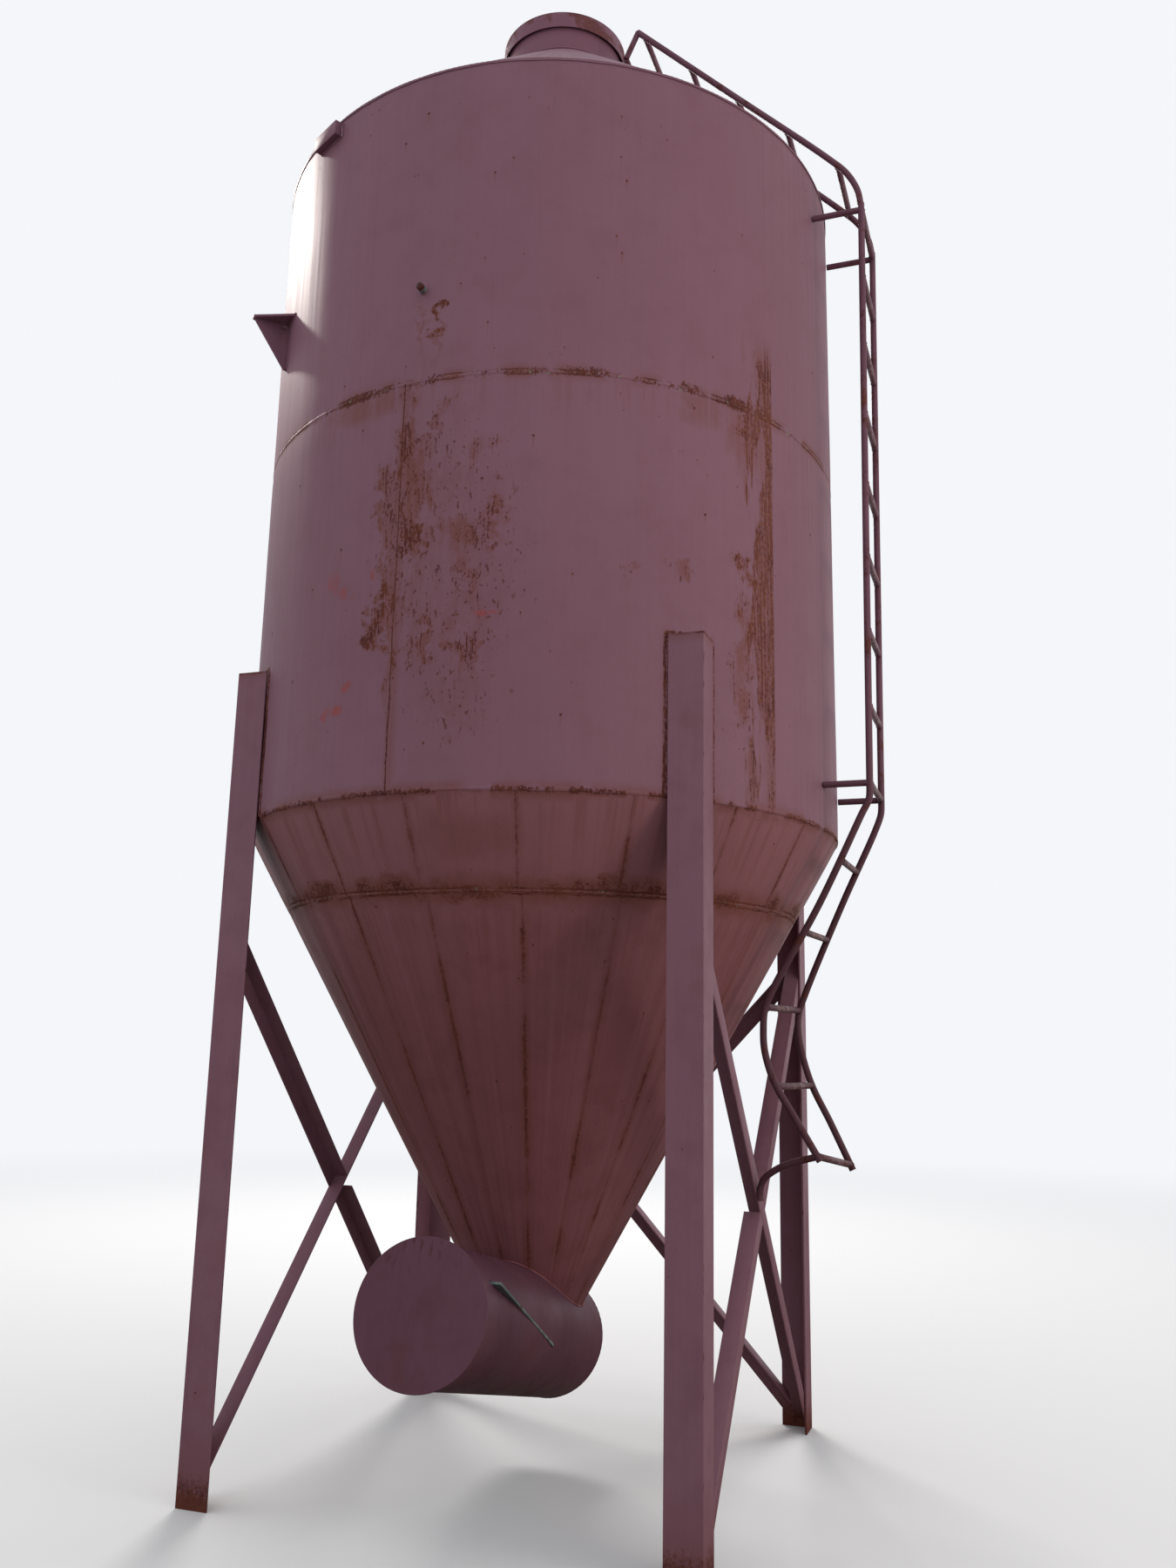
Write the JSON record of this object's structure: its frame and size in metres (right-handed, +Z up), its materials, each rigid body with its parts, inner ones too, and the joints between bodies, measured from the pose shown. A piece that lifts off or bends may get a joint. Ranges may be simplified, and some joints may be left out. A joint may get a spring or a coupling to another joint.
{
  "type": "grain silo",
  "caption": "Welded steel hopper-bottom grain silo with a cone roof, lidded hatch, sloping boot, angle-iron legs with cross braces, and a side ladder.",
  "frame": {"origin": "on the ground, under the middle of the whole footprint; the bin axis is 102 mm towards -X and 17 mm towards +Y from it", "axes": "+Z up; -Y is the front, where the boot opens and the bay between the legs is free of braces; +X is the ladder side"},
  "size_m": [2.6534, 2.4837, 6.277],
  "materials": {
    "wall_paint": "faded pink-red paint, chalky, with rust runs at the seams",
    "hopper_paint": "faded red paint with fanning streaks and rust at the seams",
    "frame_paint": "faded red paint, rust at edges and welds",
    "boot_paint": "faded red paint",
    "ladder_paint": "red paint, worn brown on the rungs",
    "fitting_paint": "faded red paint",
    "bare_steel": "dull grey-blue bare steel"
  },
  "bodies": {
    "silo": {"wall_lower_1": "wall_paint", "wall_lower_2": "wall_paint", "wall_lower_3": "wall_paint", "wall_upper_1": "wall_paint", "wall_upper_2": "wall_paint", "wall_upper_3": "wall_paint", "hopper_upper_1": "hopper_paint", "hopper_upper_2": "hopper_paint", "hopper_upper_3": "hopper_paint", "hopper_lower_1": "hopper_paint", "hopper_lower_2": "hopper_paint", "hopper_lower_3": "hopper_paint", "roof_1": "wall_paint", "roof_2": "wall_paint", "roof_3": "wall_paint", "leg_front_left": "frame_paint", "leg_front_right": "frame_paint", "leg_back_right": "frame_paint", "leg_back_left": "frame_paint", "brace_right_whole": "frame_paint", "brace_right_lower": "frame_paint", "brace_right_upper": "frame_paint", "brace_left_whole": "frame_paint", "brace_left_lower": "frame_paint", "brace_left_upper": "frame_paint", "brace_back_whole": "frame_paint", "brace_back_lower": "frame_paint", "brace_back_upper": "frame_paint", "boot_barrel": "boot_paint", "boot_lid": "boot_paint", "boot_end": "boot_paint", "boot_slide_plate": "bare_steel", "ladder_roof_run": "ladder_paint", "ladder_wall_run": "ladder_paint", "ladder_hopper_run": "ladder_paint", "ladder_foot_stay": "ladder_paint", "wall_lug_front_left": "fitting_paint", "wall_lug_back_right": "fitting_paint", "eave_bracket": "fitting_paint", "wall_peg": "fitting_paint", "hatch_collar": "fitting_paint", "hatch_hinge_bracket": "fitting_paint", "hatch_hinge_pin": "fitting_paint"},
    "hatch_lid": {"hatch_lid": "fitting_paint"}
  },
  "joints": [
    {"name": "hatch_lid_hinge", "type": "hinge", "parent": "silo", "child": "hatch_lid", "pos_m": [-0.41818, 0.01715, 6.19], "axis": [0, -1, 0], "range_deg": [0, 105]}
  ]
}
